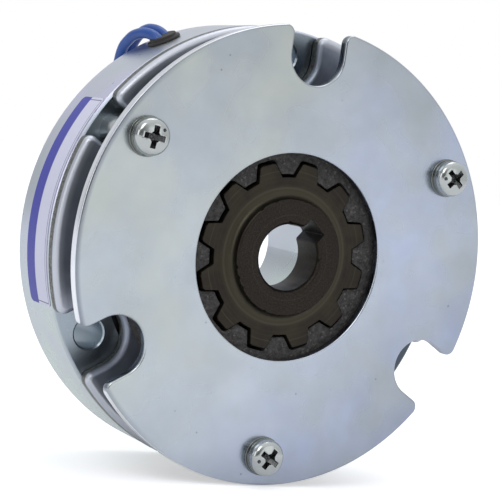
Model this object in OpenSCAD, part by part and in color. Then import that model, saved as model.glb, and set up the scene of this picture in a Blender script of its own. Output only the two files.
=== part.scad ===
// Spring-applied disc brake with a toothed hub, for a motor's shaft end.
// It stands on its rim: the axis lies along Y, the front plate faces -Y, and the origin is the
// centre of the bolt circle on the mounting face at the back.
// Inside the modules each piece lies on its back, with z as the height above the mounting face,
// and stand() sets it upright.

/* [Discs] */
// Diameter of the front plate
plate_d = 83; // [82:0.5:90]
// Thickness of the front plate
plate_t = 2; // [1.5:0.1:3]
// Diameter of the window in the front plate
window_d = 37.3; // [36:0.1:42]
// Diameter of the armature
armature_d = 82.4; // [82:0.1:84]
// Thickness of the armature
armature_t = 2.7; // [2.3:0.1:4.5]
// Diameter of the armature's bore
armature_bore_d = 24.4; // [23:0.1:25]
// Stroke of the armature, which is the air gap with the brake on
air_gap = 0.2; // [0.1:0.05:0.4]
// Radius of the front plate's rounded rim edges
rim_round = 0.5; // [0.2:0.1:0.8]
// Radius of the armature's rounded rim edges
armature_round = 0.8; // [0.3:0.1:1]

/* [Bolt circle] */
// Diameter of the circle that carries the mounting holes and the plate screws
bolt_circle_d = 72; // [71:0.5:73]
// Diameter of a mounting hole through the field
mount_hole_d = 5.5; // [4.5:0.1:6]
// Width of the front plate's notches, which let the mounting bolts pass
plate_notch_w = 10.7; // [9:0.1:11]
// Width of the armature's notches
armature_notch_w = 11.6; // [11:0.1:12.6]
// Width of the armature's slots round the spacers
slot_w = 7.2; // [7:0.1:8]
// Radius of the corners where a notch or slot meets the rim
mouth_round = 1.6; // [1:0.1:2]

/* [Field] */
// Diameter of the field's body
field_d = 82.2; // [80:0.2:83]
// Height of the field's body
field_h = 14.3; // [14:0.1:16]
// Diameter of the field's bore
field_bore_d = 21; // [20:0.1:23]
// Inner diameter of the coil groove
groove_in_d = 40; // [39:0.5:42]
// Outer diameter of the coil groove
groove_out_d = 62; // [60:0.5:62]
// Thickness of the field's back wall, under the coil groove
back_wall = 3.8; // [3:0.1:3.9]
// Chamfer on the field's outer edges
field_chamfer = 0.5; // [0.2:0.1:0.8]

/* [Torque springs] */
// Number of springs
spring_count = 6; // [6]
// Diameter of the circle on which the springs stand
spring_circle_d = 31.4; // [31:0.1:32]
// Outer diameter of a spring
spring_d = 5; // [4:0.1:5]
// Wire diameter of a spring
spring_wire = 0.8; // [0.5:0.1:0.9]
// Depth of a spring pocket
pocket_depth = 9; // [8:0.1:10]
// Turns of a spring, with the closed ones at its ends
spring_turns = 7; // [6:1:8]

/* [Hub and rotor] */
// Diameter over the rotor
rotor_d = 59; // [50:0.5:60]
// Diameter inside which the rotor is thinner than its friction faces
recess_d = 41; // [39:0.5:44]
// Depth of that recess
recess = 0.6; // [0.3:0.1:1]
// Diameter over the hub's teeth
tooth_tip_d = 34; // [33.6:0.1:34.4]
// Diameter at the foot of the hub's teeth
tooth_root_d = 28.6; // [28:0.1:29]
// Number of teeth
tooth_count = 12; // [12]
// Width of a hub tooth at its foot
tooth_foot_w = 4.72; // [4.4:0.02:4.8]
// Width of a hub tooth at its tip
tooth_tip_w = 3.14; // [2.8:0.02:3.2]
// Gap between the flanks of hub and rotor teeth
flank_gap = 0.3; // [0.1:0.02:0.34]
// Gap between a tooth's tip and the other part's foot
tip_gap = 0.5; // [0.2:0.05:0.6]
// Diameter of the hub's bore
bore_d = 12; // [10:0.5:14]
// Width of the keyway
key_w = 4; // [3:0.5:5]
// Height from the bore's far wall to the top of the keyway
key_h = 13.8; // [13:0.1:16]
// Diameter of the hub's boss
boss_d = 21; // [20:0.1:22]
// Angle at which hub and rotor stand
hub_turn = 5.4; // [0:0.1:30]

/* [Screws] */
// Thread diameter of the plate screws
screw_d = 4; // [3:0.5:4]
// Diameter of a screw head
head_d = 6.8; // [6.4:0.1:7]
// Height of a screw head
head_h = 2.3; // [2.2:0.1:2.6]
// Outer diameter of a spacer
spacer_d = 6.6; // [6:0.1:6.8]

/* [Leads] */
// Diameter of a lead over its insulation
lead_d = 2; // [1.6:0.1:2]
// Direction of the lead outlet round the field's rim
outlet_angle = 120; // [118:1:122]
// Height of the lead outlet above the mounting face
outlet_h = 6.2; // [6.2:0.1:7]

/* [Label] */
// Angle at which the label starts
label_start = 145.4; // [143:0.1:147]
// Angle that the label covers
label_sweep = 54.5; // [40:0.5:56]
// Height of the label's lower edge above the mounting face
label_low = 4.6; // [1:0.1:5.1]
// Width of the label across the rim
label_w = 8.7; // [6:0.1:9.1]

/* [Hidden] */
$fn = 96;
eps = 0.01;

// Heights above the mounting face
armature_z = field_h + air_gap;
slip = 0.02;
rotor_z = armature_z + armature_t + slip;
rotor_t = 7.76;
plate_z = rotor_z + rotor_t + slip;
plate_top = plate_z + plate_t;
hub_back = plate_top - 7.8;
hub_face = plate_z;
boss_top = plate_top;
plain_washer_t = 0.5;
spring_washer_t = 0.8;
washer_play = 0.15;
head_z = plate_top + plain_washer_t + spring_washer_t;
screw_tip_z = head_z - 20;

plate_r = plate_d / 2;
armature_r = armature_d / 2;
field_r = field_d / 2;
bolt_r = bolt_circle_d / 2;
// Arcs bite this far into the straight sides and the rim that they run on from, so that they cross
bite = 0.05;
rim_bite = 0.12;
mount_angles = [90, 210, 330];
screw_angles = [150, 30, 270];
screw_play = 0.15;
// Height of the front plate's notch feet over the bolt circle
plate_notch_lift = 0.3;
spring_angles = [for (i = [0:spring_count - 1]) i * 360 / spring_count];
pocket_r = spring_d / 2 + 0.2;
outlet_r = 2.2;
bore_chamfer = 0.3;
bobbin_wall = 0.9;
bobbin_top = field_h - 1.3;
bobbin_out_r = groove_out_d / 2 - 0.8;
label_t = 0.12;

// Lead routes in the standing frame: out of the grommet, over the rim's back edge, down behind the
// field and on to a coil that lies at the level of the rim's lowest point
lead_route_1 = [
  [-21.1, -6.8, 34.7], [-21.9, -6, 35.7], [-22.6, -4.9, 36.3], [-23.2, -3.5, 36.5], [-23.7, -1.9, 36.3],
  [-24.1, -0.3, 35.8], [-24.3, 1.2, 34.9], [-24.4, 2.6, 33.8], [-24.3, 3.8, 31.9], [-24, 4.8, 29.3],
  [-23.4, 5.6, 25.6], [-22.5, 6.2, 20.5], [-21.4, 6.5, 15.2], [-20, 6.8, 9], [-18, 7.2, 2],
  [-15.6, 7.8, -5], [-12.4, 8.8, -11.5], [-8.2, 10.4, -17.2], [-3.3, 13, -22], [1.6, 16.6, -26],
  [5.5, 21, -29], [8, 25.6, -31.2], [9.4, 30, -32.4], [9.95, 34, -32.8]
];
lead_route_2 = [
  [-19.5, -5.7, 35.6], [-20.1, -4.8, 36.6], [-20.6, -3.6, 37.2], [-21.1, -2.1, 37.5], [-21.5, -0.5, 37.4],
  [-21.8, 1.1, 36.8], [-22, 2.6, 35.7], [-22.1, 3.9, 34.3], [-22, 5, 31.9], [-21.6, 5.8, 28.6],
  [-21, 6.3, 24.2], [-20.2, 6.7, 19.4], [-18.9, 7, 13.8], [-17.3, 7.3, 7.8], [-15.5, 7.7, 1.8],
  [-13, 8.3, -4.8], [-10, 9.3, -10.6], [-6.1, 10.9, -15.7], [-1.4, 13.4, -20.1], [3.4, 16.9, -23.8],
  [7.3, 21.2, -27], [10, 25.6, -29.3], [11.4, 30, -30.7], [12, 34, -31.3]
];
coil_centre = [22, 34];
coil_radii = [12.05, 10];
coil_low = -plate_r;
coil_h = 11.2;
// Length of each lead's free end; the inner turns use up more of that lead
free_lengths = [24, 10];
tip_length = 6;
tip_d = 1.1;

steel = [0.72, 0.75, 0.79];
bright = [0.80, 0.79, 0.75];
black_oxide = [0.16, 0.15, 0.13];
lining = [0.24, 0.23, 0.22];
resin = [0.06, 0.06, 0.07];
wire_blue = [0.18, 0.33, 0.68];

// Points on an arc about c, from angle a to angle b
function arc(c, r, a, b, n = 6) =
  [for (i = [0:n]) c + r * [cos(a + (b - a) * i / n), sin(a + (b - a) * i / n)]];

// Stands a piece on its rim, so that its front faces -Y
module stand() {
  rotate([90, 0, 0]) children();
}

// Puts a copy of the children on the bolt circle at each angle, with +y pointing outwards
module on_circle(angles, r = bolt_r) {
  for (a = angles)
    rotate(a - 90) translate([0, r]) children();
}

// Flat disc whose two rim edges are rounded
module rounded_disc(r, t, edge) {
  rotate_extrude()
    polygon(concat([[0, 0]], arc([r - edge, edge], edge, -90, 0, 3),
      arc([r - edge, t - edge], edge, 0, 90, 3), [[0, t]]));
}

// Rounds the corner where a notch's side meets a rim of radius r: cuts what is left outside the arc
// about o. side_point is where the arc starts on the side.
module rounded_mouth(r, side_point, o) {
  reach = 1.1;
  difference() {
    polygon([[0, side_point[1]], side_point, o, o * reach, [0, r * reach]]);
    translate(o) circle(r = mouth_round);
  }
}

// Gap of width w in the rim of a disc of radius r, with parallel sides and a round foot about a point
// at foot_r, drawn at the top of the disc
module rim_gap(r, w, foot_r) {
  centre_r = r - mouth_round + rim_bite;
  side = w / 2 - bite;
  x = side + mouth_round - bite;
  o = [x, sqrt(centre_r * centre_r - x * x)];
  translate([0, foot_r]) circle(d = w);
  translate([-side, foot_r]) square([2 * side, r]);
  for (m = [0, 1])
    mirror([m, 0]) rounded_mouth(r, [side, o[1]], o);
}

module at_angles(angles) {
  for (a = angles)
    rotate(a - 90) children();
}

// Outline of the hub's teeth, with rounded corners. grow widens each tooth, for the space in the rotor.
module tooth_outline(root_r, tip_r, grow) {
  foot_y = tooth_root_d / 2;
  slope = (tooth_foot_w - tooth_tip_w) / (tooth_tip_d - tooth_root_d);
  lean = atan(slope);
  corner = 0.6;
  low = foot_y - 2;
  function half(y) = tooth_foot_w / 2 + grow - slope * (y - foot_y);
  o = [half(tip_r - corner) - corner / cos(lean), tip_r - corner];
  side = concat([[half(low), low]], arc(o, corner, lean, 90, 4));
  circle(r = root_r);
  for (i = [0:tooth_count - 1])
    rotate(i * 360 / tooth_count + 15 + hub_turn - 90)
      polygon(concat(side, [for (k = [len(side) - 1:-1:0]) [-side[k][0], side[k][1]]]));
}

module field_core() {
  in_r = groove_in_d / 2;
  out_r = groove_out_d / 2;
  bore_r = field_bore_d / 2;
  c = field_chamfer;
  b = bore_chamfer;
  color(steel) stand() difference() {
    rotate_extrude()
      polygon([
        [bore_r + b, 0], [field_r - c, 0], [field_r, c], [field_r, field_h - c],
        [field_r - c, field_h], [out_r, field_h], [out_r, back_wall], [in_r, back_wall],
        [in_r, field_h], [bore_r + b, field_h], [bore_r, field_h - b], [bore_r, b]
      ]);
    on_circle(mount_angles) mount_hole();
    on_circle(screw_angles)
      translate([0, 0, screw_tip_z - 1]) cylinder(d = screw_d + 0.04, h = field_h);
    on_circle(spring_angles, spring_circle_d / 2)
      translate([0, 0, field_h - pocket_depth]) cylinder(r = pocket_r, h = field_h);
    rotate(outlet_angle) translate([out_r - 2, 0, outlet_h])
      rotate([0, 90, 0]) cylinder(r = outlet_r, h = field_r);
  }
}

// Mounting hole with a chamfer at each face
module mount_hole() {
  r = mount_hole_d / 2;
  edge = 0.3;
  translate([0, 0, -1]) cylinder(r = r, h = field_h + 2);
  translate([0, 0, -eps]) cylinder(r1 = r + edge, r2 = r, h = edge);
  translate([0, 0, field_h - edge + eps]) cylinder(r1 = r, r2 = r + edge, h = edge);
}

// Spool in the coil groove
module coil_bobbin() {
  in_r = groove_in_d / 2 + 0.05;
  low = back_wall + 0.05;
  color("ivory") stand() rotate_extrude()
    polygon([
      [in_r, low], [bobbin_out_r, low], [bobbin_out_r, low + bobbin_wall],
      [in_r + bobbin_wall, low + bobbin_wall], [in_r + bobbin_wall, bobbin_top - bobbin_wall],
      [bobbin_out_r, bobbin_top - bobbin_wall], [bobbin_out_r, bobbin_top], [in_r, bobbin_top]
    ]);
}

module coil_winding() {
  in_r = groove_in_d / 2 + bobbin_wall + 0.1;
  low = back_wall + bobbin_wall + 0.1;
  out_r = bobbin_out_r - 0.3;
  high = bobbin_top - bobbin_wall - 0.05;
  color([0.72, 0.40, 0.20]) stand() rotate_extrude()
    polygon(concat([[in_r, low], [out_r - 0.6, low]], arc([out_r - 0.6, low + 0.6], 0.6, -90, 0),
      arc([out_r - 0.6, high - 0.6], 0.6, 0, 90), [[in_r, high]]));
}

// Resin that fills the groove over the spool and round it, a little below the pole faces
module coil_potting() {
  in_r = groove_in_d / 2 + 0.02;
  out_r = groove_out_d / 2 - 0.02;
  skirt_r = bobbin_out_r + 0.02;
  color(resin) stand() difference() {
    rotate_extrude()
      polygon([
        [in_r, bobbin_top + 0.02], [skirt_r, bobbin_top + 0.02], [skirt_r, back_wall + 0.02],
        [out_r, back_wall + 0.02], [out_r, field_h - 0.4], [in_r, field_h - 0.4]
      ]);
    rotate(outlet_angle) translate([skirt_r - 1, 0, outlet_h])
      rotate([0, 90, 0]) cylinder(r = outlet_r, h = 3);
  }
}

// Coil spring with closed ends, as a tube swept along its helix
module torque_spring(n) {
  mean_r = (spring_d - spring_wire) / 2;
  wire_r = spring_wire / 2;
  low = field_h - pocket_depth + wire_r;
  high = armature_z - wire_r;
  steps = 12;
  count = steps * spring_turns;
  closed = 0.85;
  rise = high - low - 2 * closed * spring_wire;
  function lift(t) =
    t < closed ? t * spring_wire :
    t > spring_turns - closed ? high - low - (spring_turns - t) * spring_wire :
    closed * spring_wire + rise * (t - closed) / (spring_turns - 2 * closed);
  path = [for (i = [0:count]) let (t = i / steps)
    [mean_r * cos(360 * t), mean_r * sin(360 * t), low + lift(t)]];
  color([0.55, 0.56, 0.58]) stand()
    rotate(spring_angles[n]) translate([spring_circle_d / 2, 0]) tube(path, wire_r, 6, [0, 0, 1]);
}

// Tube of a few flat sides along a list of points. up is a direction that the path never takes.
module tube(path, r, sides, up) {
  last = len(path) - 1;
  function unit(v) = v / norm(v);
  function along(i) = unit(path[min(i + 1, last)] - path[max(i - 1, 0)]);
  points = [for (i = [0:last])
    let (t = along(i), u = unit(cross(up, t)), v = cross(t, u))
    for (k = [0:sides - 1])
      path[i] + r * (cos(360 * k / sides) * u + sin(360 * k / sides) * v)];
  walls = [for (i = [0:last - 1]) for (k = [0:sides - 1])
    let (a = i * sides + k, b = i * sides + (k + 1) % sides)
    [a, a + sides, b + sides, b]];
  ends = [[for (k = [0:sides - 1]) k], [for (k = [sides - 1:-1:0]) last * sides + k]];
  polyhedron(points, concat(walls, ends), convexity = 8);
}

module armature() {
  color(steel) stand() translate([0, 0, armature_z]) difference() {
    rounded_disc(armature_r, armature_t, armature_round);
    translate([0, 0, -1]) linear_extrude(armature_t + 2) {
      circle(d = armature_bore_d);
      at_angles(mount_angles) rim_gap(armature_r, armature_notch_w, bolt_r);
      at_angles(screw_angles) rim_gap(armature_r, slot_w, bolt_r);
    }
  }
}

module front_plate() {
  color(steel) stand() translate([0, 0, plate_z]) difference() {
    rounded_disc(plate_r, plate_t, rim_round);
    translate([0, 0, -1]) linear_extrude(plate_t + 2) {
      circle(d = window_d);
      at_angles(mount_angles) rim_gap(plate_r, plate_notch_w, bolt_r + plate_notch_lift);
      on_circle(screw_angles) circle(d = screw_d + 2 * screw_play);
    }
  }
}

// Friction disc with inner teeth that slide on the hub's, thinner inside its friction faces
module rotor() {
  edge = 0.4;
  color(lining) stand() translate([0, 0, rotor_z]) difference() {
    rounded_disc(rotor_d / 2, rotor_t, edge);
    translate([0, 0, -1]) linear_extrude(rotor_t + 2)
      tooth_outline(tooth_root_d / 2 + tip_gap, tooth_tip_d / 2 + tip_gap, flank_gap);
    for (z = [recess - 1, rotor_t - recess])
      translate([0, 0, z]) cylinder(d = recess_d, h = 1);
  }
}

module hub() {
  tip_r = tooth_tip_d / 2;
  boss_r = boss_d / 2;
  fillet = 1.2;
  edge = 0.35;
  lead_in = 0.75;
  trim = 0.4;
  over_r = tip_r + 0.2;
  length = hub_face - hub_back;
  color(black_oxide) stand() difference() {
    union() {
      intersection() {
        translate([0, 0, hub_back]) linear_extrude(length)
          tooth_outline(tooth_root_d / 2, tip_r, 0);
        translate([0, 0, hub_back]) rotate_extrude()
          polygon([
            [0, 0], [over_r - trim, 0], [over_r, trim], [over_r, length - trim],
            [over_r - trim, length], [0, length]
          ]);
      }
      rotate_extrude()
        polygon(concat([[0, hub_face - 1], [boss_r + fillet, hub_face - 1]],
          arc([boss_r + fillet, hub_face + fillet], fillet, 270, 180),
          [[boss_r, boss_top - 0.3], [boss_r - 0.3, boss_top], [0, boss_top]]));
    }
    translate([0, 0, hub_back - 1]) cylinder(d = bore_d, h = 20);
    translate([0, 0, hub_back - eps]) cylinder(d1 = bore_d + 2 * edge, d2 = bore_d, h = edge);
    translate([0, 0, boss_top - lead_in + eps]) cylinder(d1 = bore_d, d2 = bore_d + 2 * lead_in, h = lead_in);
    rotate(45 + hub_turn) translate([0, -key_w / 2, hub_back - 1])
      cube([key_h - bore_d / 2, key_w, 20]);
  }
}

module spacer(n) {
  color(bright) stand() on_circle([screw_angles[n]])
    translate([0, 0, field_h]) difference() {
      cylinder(d = spacer_d, h = plate_z - field_h);
      translate([0, 0, -1]) cylinder(d = screw_d + 2 * screw_play, h = plate_z);
    }
}

// Pan head screw with a cross recess
module plate_screw(n) {
  turn = [43, 18, 55][n];
  shank = 20;
  r = head_d / 2;
  edge = 1.2;
  wall = 0.8;
  cap_r = 13;
  color(bright) stand() on_circle([screw_angles[n]])
    translate([0, 0, head_z]) difference() {
      union() {
        translate([0, 0, -shank]) cylinder(d = screw_d, h = shank + wall);
        rotate_extrude()
          polygon(concat([[0, 0], [r - 0.1, 0], [r, 0.1]], arc([r - edge, wall], edge, 0, 78),
            arc([0, head_h - cap_r], cap_r, 80, 90, 3)));
      }
      rotate(turn) cross_recess();
    }
}

// Two crossed slots, deepest in the middle, with a cone where they meet
module cross_recess() {
  half_arm = 2.2;
  half_floor = 0.6;
  arm_w = 0.9;
  depth = 1.5;
  top = head_h + 0.5;
  for (a = [0, 90])
    rotate([90, 0, a]) translate([0, 0, -arm_w / 2]) linear_extrude(arm_w)
      polygon([
        [-half_floor, head_h - depth], [half_floor, head_h - depth],
        [half_arm, head_h - 0.4], [half_arm, top], [-half_arm, top], [-half_arm, head_h - 0.4]
      ]);
  translate([0, 0, head_h - depth - 0.2]) cylinder(r1 = 0.4, r2 = 1.5, h = depth + 0.7);
}

// Split ring whose gap runs at a slant
module spring_washer(n) {
  gap_turn = [200, 160, 250][n];
  color(bright) stand() on_circle([screw_angles[n]])
    translate([0, 0, plate_top + plain_washer_t]) difference() {
      cylinder(d = head_d, h = spring_washer_t);
      translate([0, 0, -1]) cylinder(r = screw_d / 2 + washer_play, h = 4);
      rotate(gap_turn) translate([head_d / 2 - 0.8, 0, spring_washer_t / 2])
        rotate([30, 0, 0]) cube([3, 0.3, 4], center = true);
    }
}

module plain_washer(n) {
  color(bright) stand() on_circle([screw_angles[n]])
    translate([0, 0, plate_top]) difference() {
      cylinder(d = head_d + 0.8, h = plain_washer_t);
      translate([0, 0, -1]) cylinder(r = screw_d / 2 + washer_play, h = 4);
    }
}

// Rubber bush in the lead outlet, with a thin flange on the field's rim and a low neck
module lead_grommet() {
  flange_r = 3.1;
  flange_h = 0.45;
  neck_r = 2.5;
  neck_h = 1;
  bush_r = outlet_r - 0.02;
  color(resin) stand() rotate(outlet_angle) difference() {
    translate([0, 0, outlet_h]) rotate([0, 90, 0]) {
      translate([0, 0, groove_out_d / 2]) cylinder(r = bush_r, h = field_r - groove_out_d / 2);
      cylinder(r = flange_r, h = field_r + flange_h);
      cylinder(r = neck_r, h = field_r + neck_h);
    }
    difference() {
      translate([0, 0, -1]) cylinder(r = field_r + 0.005, h = field_h);
      translate([0, 0, outlet_h]) rotate([0, 90, 0])
        translate([0, 0, groove_out_d / 2]) cylinder(r = bush_r, h = 20);
    }
  }
}

// Stretch of a lead that lies on the floor, straight on from the coil's lowest turn
module free_end(r, from, to, d) {
  translate([coil_centre[0] + r, coil_centre[1] - from, coil_low + lead_d / 2])
    rotate([90, 0, 0]) cylinder(d = d, h = to - from);
}

module lead(route, n) {
  color(wire_blue) {
    tube(route, lead_d / 2, 8, [1, 0.35, 0.2]);
    free_end(coil_radii[n], 3, free_lengths[n], lead_d);
  }
}

module lead_1() {
  lead(lead_route_1, 0);
}

module lead_2() {
  lead(lead_route_2, 1);
}

// Stripped and tinned ends
module lead_tips() {
  color("silver")
    for (n = [0, 1])
      free_end(coil_radii[n], free_lengths[n], free_lengths[n] + tip_length, tip_d);
}

// Outer shape of the wound part of both leads
module lead_coil() {
  inner = coil_radii[1] - lead_d / 2;
  outer = coil_radii[0] + lead_d / 2;
  color(wire_blue) translate([coil_centre[0], coil_centre[1], coil_low])
    rotate_extrude() translate([inner, 0]) square([outer - inner, coil_h]);
}

// Blank label on the field's side
module label() {
  color("white") stand() rotate(label_start) rotate_extrude(angle = label_sweep)
    translate([field_r + 0.005, label_low]) square([label_t, label_w]);
}

field_core();
coil_bobbin();
coil_winding();
coil_potting();
torque_spring(0);  // torque_spring_1
torque_spring(1);  // torque_spring_2
torque_spring(2);  // torque_spring_3
torque_spring(3);  // torque_spring_4
torque_spring(4);  // torque_spring_5
torque_spring(5);  // torque_spring_6
armature();
rotor();
hub();
front_plate();
spacer(0);  // spacer_1
spacer(1);  // spacer_2
spacer(2);  // spacer_3
plate_screw(0);  // plate_screw_1
plate_screw(1);  // plate_screw_2
plate_screw(2);  // plate_screw_3
spring_washer(0);  // spring_washer_1
spring_washer(1);  // spring_washer_2
spring_washer(2);  // spring_washer_3
plain_washer(0);  // plain_washer_1
plain_washer(1);  // plain_washer_2
plain_washer(2);  // plain_washer_3
lead_grommet();
lead_1();
lead_2();
lead_coil();
lead_tips();
label();
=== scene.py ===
import math

import bpy
from mathutils import Matrix, Vector


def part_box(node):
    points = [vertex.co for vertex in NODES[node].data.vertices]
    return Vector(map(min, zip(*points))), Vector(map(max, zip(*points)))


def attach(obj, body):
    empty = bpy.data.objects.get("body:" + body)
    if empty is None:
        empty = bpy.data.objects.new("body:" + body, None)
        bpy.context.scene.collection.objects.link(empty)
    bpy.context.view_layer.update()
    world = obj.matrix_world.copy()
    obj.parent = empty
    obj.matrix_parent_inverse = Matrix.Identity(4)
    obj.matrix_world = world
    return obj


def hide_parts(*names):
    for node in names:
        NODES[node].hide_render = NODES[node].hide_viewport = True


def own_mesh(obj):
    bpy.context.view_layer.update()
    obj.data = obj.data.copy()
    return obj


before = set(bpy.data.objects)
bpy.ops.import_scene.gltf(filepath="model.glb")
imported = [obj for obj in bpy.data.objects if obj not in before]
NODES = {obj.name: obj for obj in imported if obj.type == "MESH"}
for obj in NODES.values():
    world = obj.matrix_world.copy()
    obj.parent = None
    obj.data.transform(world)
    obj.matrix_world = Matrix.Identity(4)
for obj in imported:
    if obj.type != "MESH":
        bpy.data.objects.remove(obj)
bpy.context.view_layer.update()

bl_info = {
    "name": "Spring-Applied Brake",
    "version": (1, 0, 0),
    "blender": (4, 5, 0),
    "location": "View3D > Sidebar > Brake",
    "description": "Plated discs, friction disc, toothed hub, screws, leads and label of a motor brake",
    "category": "Object",
}

MM = 0.001
X_AXIS, Y_AXIS, Z_AXIS = Vector((1, 0, 0)), Vector((0, 1, 0)), Vector((0, 0, 1))
# Most that a drawn arc's chords may fall inside it
SAGITTA = 0.005 * MM
# Points nearer than this to each other are one
WELD = 0.01 * MM

# The discs as the CAD has them, in millimetres. The axis is along Y and the front faces -Y.
PLATE_R = 41.5
PLATE_NOTCH_W = 10.7
PLATE_NOTCH_R = 36.3
WINDOW_D = 37.3
SCREW_HOLE_D = 4.3
ARMATURE_R = 41.2
ARMATURE_NOTCH_W = 11.6
ARMATURE_BORE_D = 24.4
SLOT_W = 7.2
MOUTH_ROUND = 1.6
FIELD_R = 41.1
BOLT_R = 36.0
MOUNT_HOLE_R = 2.75
MOUNT_ANGLES = (90, 210, 330)
SCREW_ANGLES = (150, 30, 270)
# How far a drill goes past a face
OVERRUN = 1.0

# The screws, in millimetres and degrees. Each one's cross is turned so that its dimple is where the
# photograph has it.
SCREW_TURNS = (-6, 138, 148)
SCREW_SEAT_Y = -28.3
SCREW_LENGTH = 20.0
SCREW_TIP = 0.4
SHANK_R = 2.0
HEAD_R = 3.3
HEAD_SEAT_ROUND = 0.15
HEAD_WALL = 0.4
HEAD_SHOULDER_R = 1.2
HEAD_SHOULDER_TURN = 77
RECESS_FOOT = 0.6
RECESS_REACH = 1.95
RECESS_WIDTH = 0.96
RECESS_DEPTH = 1.5
RECESS_MOUTH_DEPTH = 0.3
CONE_FOOT_R = 0.3
CONE_TOP_R = 1.1
CONE_H = 1.8
CONE_DEPTH = 1.6
DIMPLE_R = 0.34
DIMPLE_OFF = 1.55
DIMPLE_IN = 0.12
WASHER_SCALE = 0.93

# The label, in millimetres and degrees, from its start round the field
LABEL_START = 145.4
LABEL_SWEEP = 54.5
LABEL_LOW = 4.6
LABEL_W = 9.0
LABEL_T = 0.12
LABEL_CORNER = 1.0
LABEL_GLUE = 0.01
LABEL_LENGTH = math.radians(LABEL_SWEEP) * FIELD_R

# Lead routes, in metres: out of the grommet, over the rim, down behind the field to the coil
LEAD_ROUTE_1 = [
    (-0.0211, -0.0068, 0.0347), (-0.0219, -0.006, 0.0357), (-0.0226, -0.0049, 0.0363),
    (-0.0232, -0.0035, 0.0365), (-0.0237, -0.0019, 0.0363), (-0.0241, -0.0003, 0.0358),
    (-0.0243, 0.0012, 0.0349), (-0.0244, 0.0026, 0.0338), (-0.0243, 0.0038, 0.0319),
    (-0.024, 0.0048, 0.0293), (-0.0234, 0.0056, 0.0256), (-0.0225, 0.0062, 0.0205),
    (-0.0214, 0.0065, 0.0152), (-0.02, 0.0068, 0.009), (-0.018, 0.0072, 0.002), (-0.0156, 0.0078, -0.005),
    (-0.0124, 0.0088, -0.0115), (-0.0082, 0.0104, -0.0172), (-0.0033, 0.013, -0.022),
    (0.0016, 0.0166, -0.026), (0.0055, 0.021, -0.029), (0.008, 0.0256, -0.0312), (0.0094, 0.03, -0.0324),
    (0.00995, 0.034, -0.0328),
]
LEAD_ROUTE_2 = [
    (-0.0195, -0.0057, 0.0356), (-0.0201, -0.0048, 0.0366), (-0.0206, -0.0036, 0.0372),
    (-0.0211, -0.0021, 0.0375), (-0.0215, -0.0005, 0.0374), (-0.0218, 0.0011, 0.0368),
    (-0.022, 0.0026, 0.0357), (-0.0221, 0.0039, 0.0343), (-0.022, 0.005, 0.0319),
    (-0.0216, 0.0058, 0.0286), (-0.021, 0.0063, 0.0242), (-0.0202, 0.0067, 0.0194),
    (-0.0189, 0.007, 0.0138), (-0.0173, 0.0073, 0.0078), (-0.0155, 0.0077, 0.0018),
    (-0.013, 0.0083, -0.0048), (-0.01, 0.0093, -0.0106), (-0.0061, 0.0109, -0.0157),
    (-0.0014, 0.0134, -0.0201), (0.0034, 0.0169, -0.0238), (0.0073, 0.0212, -0.027),
    (0.01, 0.0256, -0.0293), (0.0114, 0.03, -0.0307), (0.012, 0.034, -0.0313),
]
LEADS = [dict(zip(("name", "node", "route", "radius", "turns", "free"), lead)) for lead in (
    ("lead_outer", "lead_1", LEAD_ROUTE_1, 0.01205, 3.5, 0.024),
    ("lead_inner", "lead_2", LEAD_ROUTE_2, 0.01, 4.5, 0.01),
)]
COIL_CENTRE = (0.022, 0.034)
COIL_END_Z = -0.0405
COIL_TURN_STEPS = 32
FREE_END_STEP = 0.003

# The tinned strands at a lead's end, in millimetres and degrees
TIP_LENGTH = 6.0
TIP_INSIDE = 0.3
STRAND_R = 0.17
STRAND_RING_R = 0.36
STRAND_TWIST = 300

# The cable tie, in millimetres: the lowest and highest turns that it goes round, on the inner and the
# outer lead, its band, and its head and tail by their size, height and edge
TIE_ROUND_INNER_Z = (-39.97, -31.81)
TIE_ROUND_OUTER_Z = (-39.95, -33.35)
TIE_WRAP_R = 1.04
TIE_WIDTH = 2.2
TIE_T = 0.35
TIE_HEAD = (3.4, 1.9, 3.2)
TIE_HEAD_Z = -36.5
TIE_HEAD_EDGE = 0.4
TIE_TAIL = (2.0, 0.4, 3.6)
TIE_TAIL_Z = -33.4
TIE_TAIL_OFF = 0.75
TIE_TAIL_EDGE = 0.15


def linear(hex_colour):
    """sRGB hex to the linear colour that shaders take."""
    parts = [int(hex_colour[i:i + 2], 16) / 255 for i in (1, 3, 5)]
    return tuple(c / 12.92 if c <= 0.04045 else ((c + 0.055) / 1.055) ** 2.4 for c in parts) + (1.0,)


def add(tree, kind, inputs=(), **settings):
    """Adds a shader node and sets its properties and inputs. The inputs come by name, or in the node's own
    order. One that is a socket or a node is linked, and a node gives the first output that it has in use."""
    made = tree.nodes.new("ShaderNode" + kind)
    for key, value in settings.items():
        setattr(made, key, value)
    if isinstance(inputs, dict):
        pairs = [(made.inputs[key], value) for key, value in inputs.items()]
    else:
        pairs = list(zip([socket for socket in made.inputs if socket.enabled], inputs))
    for socket, value in pairs:
        if isinstance(value, bpy.types.Node):
            value = next(output for output in value.outputs if output.enabled)
        if isinstance(value, bpy.types.NodeSocket):
            tree.links.new(value, socket)
        else:
            socket.default_value = value
    return made


def off_axis(tree, place):
    """A point's place seen along the brake's axis, and how far it is from the axis."""
    flat = add(tree, "VectorMath", [place, (1, 0, 1)], operation="MULTIPLY")
    return flat, add(tree, "VectorMath", [flat], operation="LENGTH")


def turning_lines(tree, place, pitch, detail, roughness):
    """Fine uneven lines round the axis, as a lathe leaves them."""
    drawn_out = add(tree, "Mapping", {"Vector": place, "Scale": (0.02, 1, 0.02)})
    return add(tree, "TexNoise", [drawn_out, 1 / (pitch * MM), detail, roughness])


def mottled(tree, pattern, low, high, dark, light):
    """Two colours, the second where a pattern goes from low to high."""
    return add(tree, "Mix", [add(tree, "MapRange", [pattern, low, high]), linear(dark), linear(light)],
               data_type="RGBA")


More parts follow.
